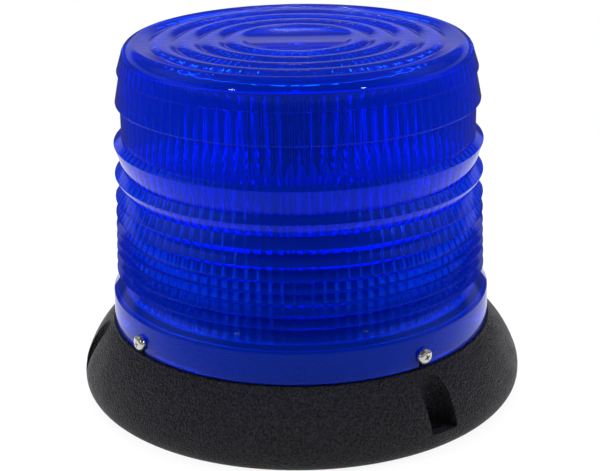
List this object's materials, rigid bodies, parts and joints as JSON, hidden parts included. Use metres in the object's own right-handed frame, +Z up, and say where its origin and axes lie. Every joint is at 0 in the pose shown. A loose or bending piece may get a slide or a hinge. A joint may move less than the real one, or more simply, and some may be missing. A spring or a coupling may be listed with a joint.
{
  "type": "flashing beacon",
  "caption": "Flashing beacon: a blue Fresnel drum lens with stepped rings and a ringed top over a post with light boards round its head, screwed to a black flared base with bolt pockets.",
  "frame": {"origin": "centre of the base underside, on the surface that the beacon stands on", "axes": "+Z up along the lens axis; -Y is the front, where a bolt pocket lies under a lens screw"},
  "size_m": [0.165, 0.165, 0.1311],
  "materials": {
    "base_plastic": "fine moulded grain",
    "blue_lens": "clear blue, polished",
    "black_rubber": "smooth",
    "bright_screw": "bright plated",
    "zinc_screw": "zinc plated",
    "black_screw": "black zinc plated",
    "brass_insert": "turned",
    "deck_metal": "black anodised",
    "tower_metal": "satin, natural",
    "cap_plastic": "moulded",
    "led_laminate": "dark solder mask",
    "led_package": "moulded",
    "driver_laminate": "green solder mask",
    "capacitor_sleeve": "shrink sleeve",
    "inductor_ferrite": "pressed ferrite",
    "chip_epoxy": "moulded",
    "terminal_plastic": "moulded"
  },
  "bodies": {
    "base": {"base_housing": "base_plastic", "board_screws": "zinc_screw", "cable_grommet": "black_rubber", "cap_screw": "zinc_screw", "deck_plate": "deck_metal", "deck_screws": "black_screw", "driver_board": "driver_laminate", "driver_chips": "chip_epoxy", "filter_capacitors": "capacitor_sleeve", "led_board_1": "led_laminate", "led_board_2": "led_laminate", "led_board_3": "led_laminate", "led_board_4": "led_laminate", "led_board_5": "led_laminate", "led_board_6": "led_laminate", "led_board_screws": "zinc_screw", "led_packages": "led_package", "lens_screws": "bright_screw", "lens_seal": "black_rubber", "mounting_gasket": "black_rubber", "power_inductor": "inductor_ferrite", "screw_inserts": "brass_insert", "terminal_block": "terminal_plastic", "tower_cap": "cap_plastic", "tower_core": "tower_metal", "tower_screws": "zinc_screw"},
    "lens": {"lens": "blue_lens"}
  },
  "joints": [
    {"name": "lens_lift", "type": "slide", "parent": "base", "child": "lens", "axis": [0, 0, 1], "range_m": [0, 0.09]}
  ]
}
